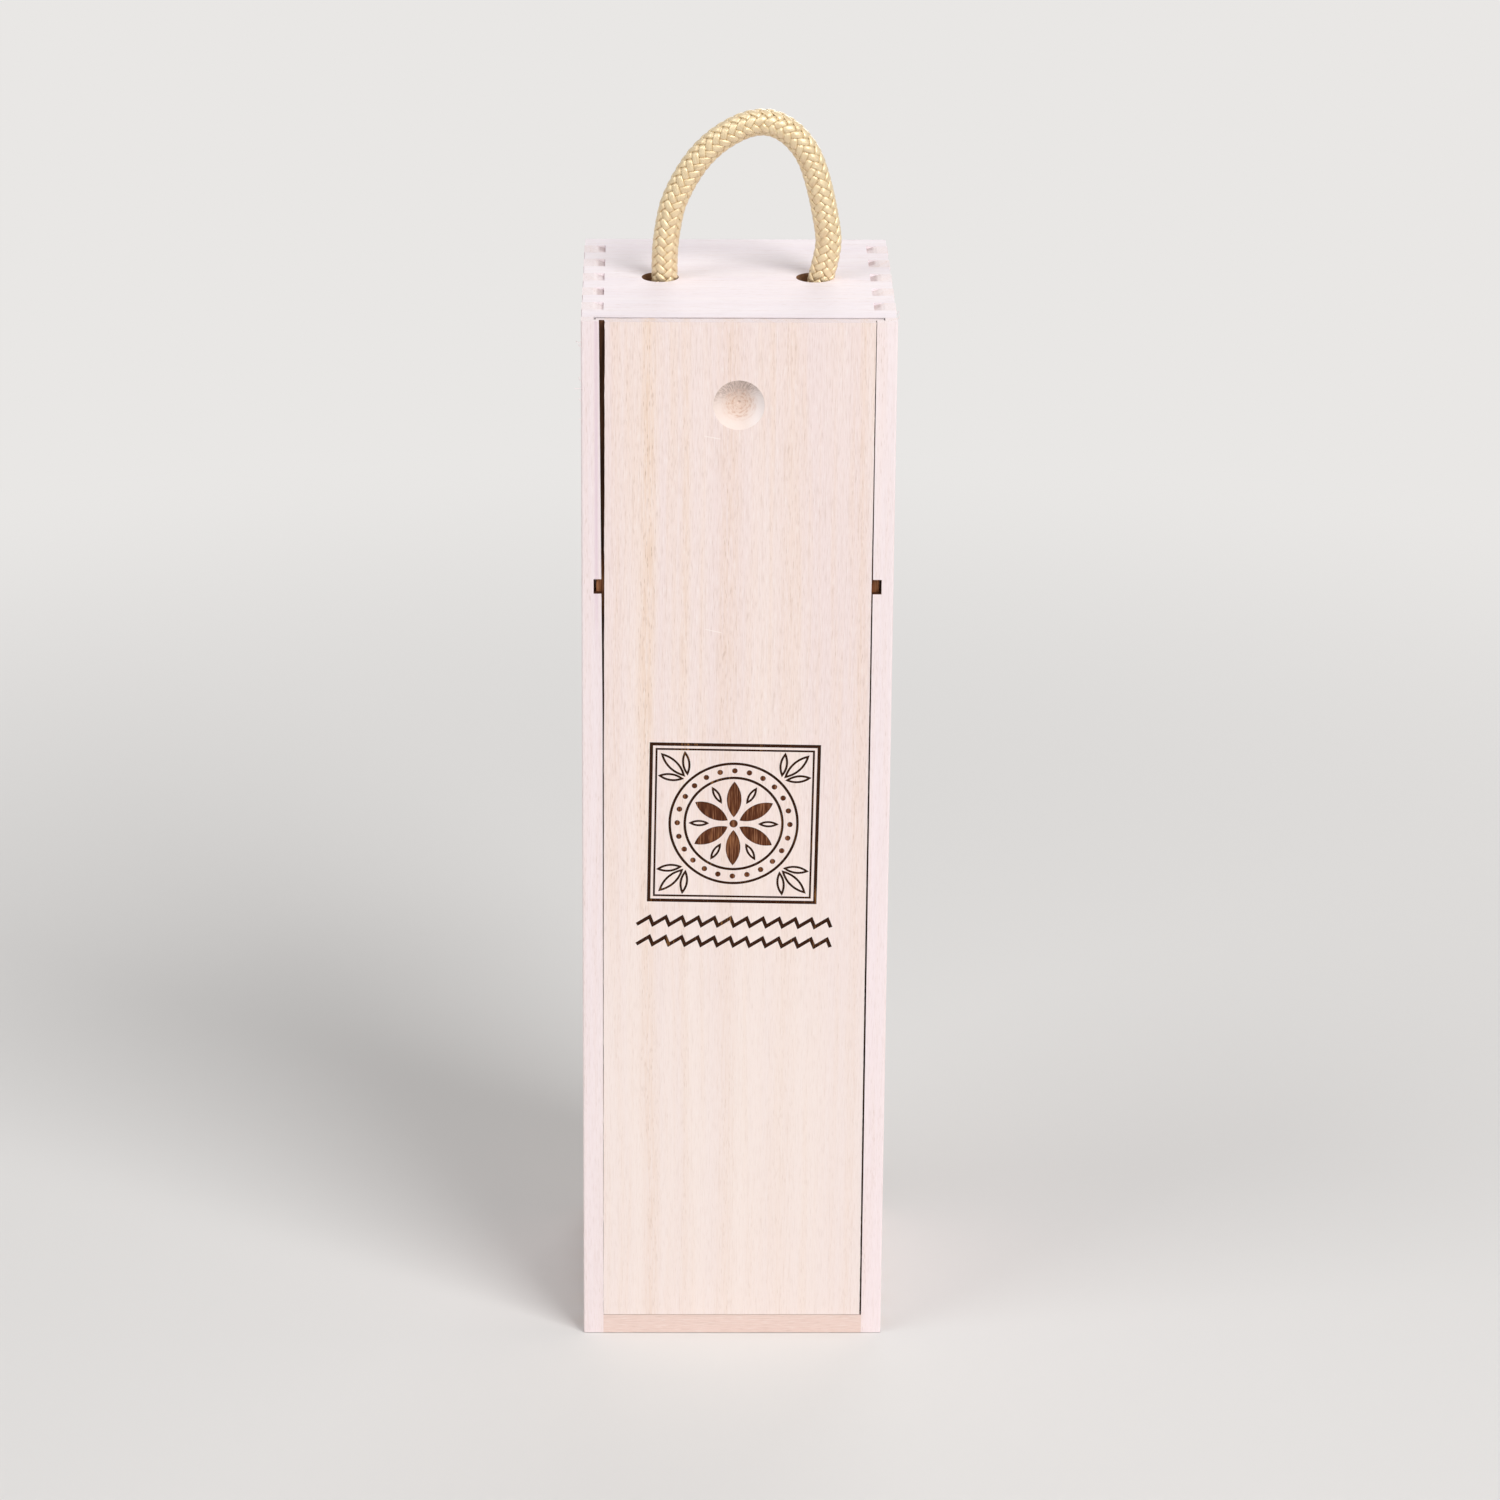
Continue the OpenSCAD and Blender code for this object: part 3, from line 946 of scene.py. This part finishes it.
def lid_marks(wood, colour, place, facing, threads):
    """The tongues, scorched and painted with shade and light, the hollow, painted shade at the top end's
    joint, and two fine scratches.
    """
    x, y, z = place
    behind_face = (y - FACE).step(0.00003, 0.0002)
    below_ends = abs(facing[2]).step(0.9, 0.5)
    tongue = abs(x).step(TONGUES_FROM, TONGUES_FROM + 0.0001) * behind_face * below_ends
    # Painted light and shade: the tongues are painted a dark scorched brown as painted shade for the
    # narrow gap beside the lid, and lighter by the brace slot, as painted light where the slot lets light
    # in.
    painted_notch_light = abs(z - BRACE_Z).step(0.014, 0.0025) * abs(facing[1]).step(0.5, 0.8)
    dark = scorch_with_painted_light(wood, threads, paint(66, 37, 20), paint(104, 67, 44))
    light = scorch_with_painted_light(wood, threads, paint(142, 84, 50), paint(196, 134, 92))
    colour = wood.tint(tongue, colour, wood.tint(painted_notch_light, dark, light))
    # Painted shade: a darker lilac line along the back edge of the lid's top end, in the joint against
    # the top board.
    width = wood.noise(x * 90, 2.0, 5.0, 2)
    joint = (y + width * 0.0016).step(GROOVE_BACK - 0.0003, GROOVE_BACK)
    joint = joint * z.step(LID_TOP - 0.0004, LID_TOP - 0.0002)
    colour = wood.tint(joint * 0.7, colour, paint(104, 86, 86))
    reach = (x**2 + (z - HOLLOW_Z) ** 2) ** 0.5
    hollow = reach.step(HOLLOW_RADIUS + 0.00022, HOLLOW_RADIUS) * (y - FACE).step(0.00002, 0.0001)
    colour = wood.tint(hollow * 0.9, colour, torn_hollow(wood, place, reach))
    for middle_x, middle_z, slope in SCRATCHES:
        beside = abs((z - middle_z) - (x - middle_x) * slope)
        scratch = beside.step(0.00022, 0.00008) * abs(x - middle_x).step(0.0029, 0.0022)
        colour = wood.tint(scratch * 0.75, colour, paint(253, 241, 236))
    return colour


LID_STREAKS = (
    (-0.0285, 0.0042, 0.85),
    (-0.0172, 0.0026, 0.5),
    (-0.0035, 0.0060, 0.5),
    (0.0155, 0.0065, 0.35),
    (0.0385, 0.0032, 0.45),
    (-0.038, 0.0020, 0.3),
)
LID_TONE = tone((246, 229, 223), (242, 224, 221), (240, 213, 192), (239, 226, 229))
lid_material = raw_wood(
    "planed lid", "Z", (0.16, 0.06), 80.0, LID_TONE, paler_foot=0.4, streaks=LID_STREAKS, marks=lid_marks,
    calm=(0.08, 0.27),
)
burnt_line = burnt_wood("burnt line", paint(58, 31, 17), paint(154, 106, 60), 0.22)
burnt_figure = burnt_wood("burnt figure", paint(92, 50, 29), paint(146, 94, 58), 0.28, streaky=0.6)
print("lid finishes:", lid_material.name, burnt_line.name, burnt_figure.name)

# %% [markdown]
# ## A copy of the lid
# The lid of the frame is a mesh of loose triangles, so a copy of it is merged first. Its long edges
# were planed by hand and meet the grooves unevenly: the gap on the left is widest at the head and
# nearly shut at the foot.

# %% A lid with worn edges
def lid_copy():
    """The frame's lid as a piece of its own, with its points merged."""
    piece = nodes["sliding_lid"].copy()
    piece.data = piece.data.copy()
    piece.name = "lid_board"
    piece.parent = None
    for key in list(piece.keys()):
        del piece[key]
    bpy.context.collection.objects.link(piece)
    piece.data.materials.clear()
    piece.data.materials.append(lid_material)
    only(piece)
    bpy.ops.mesh.customdata_custom_splitnormals_clear()
    open_up(piece)
    bpy.ops.mesh.remove_doubles(threshold=0.000002)
    shut()
    return piece


# Places up the lid's edge, and how far it is drawn out there, in millimetres.
LEFT_CLOSING = ((0.0, 0.153, 0.353), (0.35, 0.19, -0.28))
RIGHT_CLOSING = ((0.0, 0.1, 0.17, 0.353), (0.28, 0.12, 0.05, 0.1))
ON_FACE = FACE + 0.00005
TORN, TORN_MOST = 0.05, 0.22


def roughen_edges(piece):
    """Divides the two long edges of the face and moves their points a little, as planing tears them."""
    open_up(piece, "DESELECT")
    shut()
    points = piece.data.vertices
    for edge in piece.data.edges:
        a, b = (points[k].co for k in edge.vertices)
        on_face = max(a.y, b.y) < ON_FACE
        at_side = min(abs(a.x), abs(b.x)) > TONGUES_FROM and a.x * b.x > 0
        edge.select = on_face and at_side and abs(a.z - b.z) > 0.1
    bpy.ops.object.mode_set(mode="EDIT")
    bpy.ops.mesh.subdivide(number_cuts=80)
    bpy.ops.mesh.subdivide(number_cuts=2)
    shut()
    rng = np.random.default_rng(8)
    moved = 0
    for point in piece.data.vertices:
        if point.co.y < ON_FACE and abs(point.co.x) > TONGUES_FROM:
            outward = math.copysign(1, point.co.x)
            closing = np.interp(point.co.z, *(LEFT_CLOSING if outward < 0 else RIGHT_CLOSING))
            torn = min(TORN_MOST, TORN * rng.gamma(1.0))
            point.co.x += outward * (closing + torn - TORN) * MM
            moved += 1
    print(moved, "points of the lid's long edges moved")


print("the lid's left edge is drawn out by", LEFT_CLOSING[1], "mm, its right edge by", RIGHT_CLOSING[1])

# %% [markdown]
# ## The cut
# One exact Boolean cuts all lines at once, and the cut faces keep the cutter's material, which is the
# scorched one. The solver works on several threads and, once in a few dozen runs, loses part of the
# cut. So the lid is weighed before and after: the cutters are prisms, which says how much wood must go,
# and a cut that took anything else is made again on a fresh lid. The edges are roughened after the cut,
# so that the Boolean meets plain faces.

# %% The burnt lid
ASKEW = math.radians(0.9)
TRIES, OFF_BY_MOST = 6, 0.001


def joined_cutters():
    """All figures and lines as one object, in their burnt materials, a little askew on the lid."""
    for group, material in ((figures, burnt_figure), (lines, burnt_line)):
        for cutter in group:
            cutter.data.materials.clear()
            cutter.data.materials.append(material)
    whole = joined(figures + lines)
    middle = Matrix.Translation(Vector(CENTRE))
    whole.data.transform(middle @ Matrix.Rotation(ASKEW, 4, "Y") @ middle.inverted())
    return whole


def volume(piece):
    """What a closed piece holds, in cubic millimetres."""
    piece.data.calc_loop_triangles()
    total = 0.0
    for triangle in piece.data.loop_triangles:
        a, b, c = (piece.data.vertices[k].co / MM for k in triangle.vertices)
        total += a.dot(b.cross(c)) / 6
    return total


def cut_lid(cutter):
    """A lid with the cutter's shape sunk into it, cut again until the right volume is gone."""
    sunk = volume(cutter) * BURN_DEPTH / (BEFORE + BURN_DEPTH)
    for _ in range(TRIES):
        piece = lid_copy()
        whole = volume(piece)
        carve = piece.modifiers.new("burn", "BOOLEAN")
        carve.operation = "DIFFERENCE"
        carve.solver = "EXACT"
        carve.material_mode = "TRANSFER"
        carve.use_self = True
        carve.object = cutter
        bpy.ops.object.modifier_apply(modifier=carve.name)
        gone = whole - volume(piece)
        print("the cut took", round(gone, 1), "cubic mm of", round(sunk, 1))
        if abs(gone - sunk) < OFF_BY_MOST * sunk:
            return piece
        bpy.data.meshes.remove(piece.data)
    raise RuntimeError("the ornament can't be cut into the lid")


ornament = joined_cutters()
lid = cut_lid(ornament)
bpy.data.objects.remove(ornament)
roughen_edges(lid)
bpy.ops.object.shade_smooth_by_angle(angle=math.radians(25))
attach(lid, "lid")
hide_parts("sliding_lid")
print("lid:", len(lid.data.polygons), "faces,", [m.name for m in lid.data.materials])

# %% [markdown]
# ## Raised fibres
# Raw edges are never quite clean. A few fibres stand up along the upper left edge and by the top right
# corner. Each is a small disc, spun about a point beside it and drawn in towards its tip.

# %% Raised fibres
def raised_fibre(name, foot, course, length, bend):
    """foot and course are a place on the edge, in millimetres, and the way the fibre leaves it."""
    bpy.ops.mesh.primitive_circle_add(vertices=5, radius=0.11 * MM, fill_type="NGON")
    piece = bpy.context.object
    piece.name = name
    bend = math.radians(bend)
    open_up(piece)
    bpy.ops.mesh.spin(steps=6, angle=-bend, center=(length * MM / bend, 0, 0), axis=(0, 1, 0))
    bpy.ops.transform.resize(value=(0.4, 0.4, 0.4))
    bpy.ops.mesh.select_all(action="SELECT")
    bpy.ops.mesh.fill_holes(sides=8)
    bpy.ops.mesh.normals_make_consistent(inside=False)
    shut()
    turn = Vector(course).to_track_quat("Z", "X").to_matrix().to_4x4()
    piece.data.transform(Matrix.Translation(Vector(foot) * MM) @ turn)
    return piece


FIBRES = (
    ((-49.9, -49.9, 346.2), (-1, -0.6, -0.3), 2.2, 70),
    ((-49.9, -49.9, 344.6), (-1, -0.5, 0.5), 1.6, 50),
    ((-49.9, -49.9, 333.4), (-1, -0.7, 0.6), 2.0, 80),
    ((-49.9, -49.9, 331.0), (-1, -0.4, -0.2), 2.6, 40),
    ((-49.9, -49.9, 326.8), (-1, -0.6, 0.4), 1.2, 60),
    ((-49.9, -49.9, 320.9), (-1, -0.6, -0.4), 1.0, 50),
    ((49.9, -46.0, 352.9), (1, -0.2, 0.7), 1.5, 60),
    ((49.9, -40.5, 352.9), (1, 0.3, 0.6), 1.3, 70),
)
raised = [raised_fibre(f"fibre_{k}", *fibre) for k, fibre in enumerate(FIBRES)]
raised_fibres = joined(raised)
raised_fibres.name = "raised_fibres"
raised_fibres.data.materials.append(woods["left_side"])
bpy.ops.object.shade_smooth()
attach(raised_fibres, "case")
print("raised fibres:", len(raised_fibres.data.polygons), "faces, out to", raised_fibres.bound_box[0][0])

# %% [markdown]
# ## The rope's yarn
# The strands are bundles of fine, shiny filaments that run along each grain. The stripes follow the UV
# map of the strands, and the lighter ones are a painted sheen. Where a strand dives under its
# neighbours it is painted darker and warmer, as a painted shade for the hollows between the strands.

# %% The yarn
def yarn():
    rope_yarn = Finish("golden yarn")
    across, along, _ = rope_yarn.split(rope_yarn.node("ShaderNodeUVMap", uv_map="strand"))
    depth = rope_yarn.node("ShaderNodeAttribute", output="Fac", attribute_name="depth")
    filaments = rope_yarn.noise(across * 26, along * 0.25, 0.0, 2, 0.6)
    bundle = rope_yarn.noise(across * 3 + 7, along * 0.35, 3.0, 2)
    colour = rope_yarn.tint(bundle.step(0.35, 0.7), paint(238, 217, 177), paint(226, 201, 161))
    # Painted sheen: pale cream stripes along the filaments.
    colour = rope_yarn.tint(filaments.step(0.5, 0.8) * 0.6, colour, paint(252, 240, 202))
    colour = rope_yarn.tint(filaments.step(0.45, 0.2) * 0.35, colour, paint(196, 158, 100))
    # Painted shade: the deeper a strand lies under its neighbours, the darker and warmer it is painted.
    colour = rope_yarn.tint(depth.step(0.25, 0.9) * 0.88, colour, paint(140, 108, 58))
    rope_yarn.give("Base Color", colour)
    rope_yarn.plain(Metallic=0.35, Roughness=0.34, Specular_IOR_Level=0.5)
    rope_yarn.plain(Coat_Weight=0.2, Coat_Roughness=0.22)
    rope_yarn.relief(filaments, 0.09)
    return rope_yarn.material


golden_yarn = yarn()
for piece in (rope, knot_left, knot_right):
    piece.data.materials.clear()
    piece.data.materials.append(golden_yarn)
print("rope and knots finished in", golden_yarn.name)

# %% [markdown]
# ## The floor
# The floor is one wide sheet, a hair under the box. Near the box it is matt and takes its shadow. Far
# off it glows evenly, so that it runs into the surround without a horizon, but only for rays that are
# seen directly, which keeps the glow off the box.

# %% The floor
PALE = paint(233, 231, 229)
SEEN = ("Is Camera Ray", "Is Glossy Ray", "Is Transmission Ray")


def seen_directly(finish):
    """1 for what the camera sees itself, or in a gloss or through glass."""
    seen, gloss, through = [finish.node("ShaderNodeLightPath", output=ray) for ray in SEEN]
    return seen.larger(gloss).larger(through)


bpy.ops.mesh.primitive_plane_add(size=40, location=(0, 0, -0.0002))
floor = bpy.context.object
floor.name = "floor"
cloth = Finish("pale floor")
cloth.plain(Base_Color=paint(226, 224, 222), Roughness=0.9, Specular_IOR_Level=0.1)
x, y, _ = cloth.place()
far_off = (x**2 + (y + 0.05) ** 2).step(0.12, 1.0)
glow = cloth.node("ShaderNodeEmission", {"Color": PALE, "Strength": 1.0})
matt = Value(cloth, cloth.shader.outputs[0])
mixed = cloth.node("ShaderNodeMixShader", [far_off * seen_directly(cloth), matt, glow])
cloth.tree.links.new(mixed.socket, cloth.tree.nodes["Material Output"].inputs["Surface"])
floor.data.materials.append(cloth.material)
print("floor laid, in", cloth.material.name)

# %% [markdown]
# ## The lamps
# A large soft lamp stands to the right in front, a second one high on the left, and a weak one low
# behind the box, which draws a bright rim along the rope. Lamps that stand far off light the box evenly
# from head to foot.

# %% The lamps
KEY_POWER, HIGH_POWER, REAR_POWER = 161, 52, 56
AIM = Vector((0, 0, 0.1))


def soft_lamp(name, azimuth, height, distance, size, watts):
    """A square lamp aimed at the box. The azimuth counts from the front towards the right, in degrees."""
    turn, above = math.radians(azimuth), math.radians(height)
    level = math.cos(above)
    away = Vector((math.sin(turn) * level, -math.cos(turn) * level, math.sin(above)))
    bpy.ops.object.light_add(type="AREA", location=AIM + away * distance)
    lamp = bpy.context.object
    lamp.name = name
    lamp.data.energy = watts
    lamp.data.size = size
    lamp.visible_camera = False
    lamp.rotation_euler = (-away).to_track_quat("-Z", "Y").to_euler()


soft_lamp("key lamp", 37, 41, 5.0, 2.5, KEY_POWER)
soft_lamp("high lamp", -60, 50, 5.0, 2.4, HIGH_POWER)
soft_lamp("rear lamp", 168, 15, 5.0, 2.4, REAR_POWER)

# %% [markdown]
# ## The sky
# A pale surround fills the shadows. The colours are written as they should look, so lamps and surround
# together come to about the light at which a white sheet looks white. The surround is seen brighter
# than it shines, or it would wash out the shadows.

# %% The sky
SKY_STRENGTH = 0.36


class Surround(Finish):
    """The world as a finish: it lights the box with one strength and is seen with another."""

    def __init__(self, name):
        world = bpy.data.worlds.new(name)
        world.use_nodes = True
        bpy.context.scene.world = world
        self.tree = world.node_tree


surround = Surround("surround")
sky = surround.tree.nodes["Background"]
sky.inputs["Color"].default_value = (1.0, 1.0, 1.0, 1.0)
sky.inputs["Strength"].default_value = SKY_STRENGTH
shown = surround.node("ShaderNodeBackground", {"Color": PALE, "Strength": 1.0})
shining = Value(surround, sky.outputs[0])
both = surround.node("ShaderNodeMixShader", [seen_directly(surround), shining, shown])
surround.tree.links.new(both.socket, surround.tree.nodes["World Output"].inputs["Surface"])
bpy.context.scene.view_settings.view_transform = "Standard"
print("sky shines at", SKY_STRENGTH, "and is seen at 1")
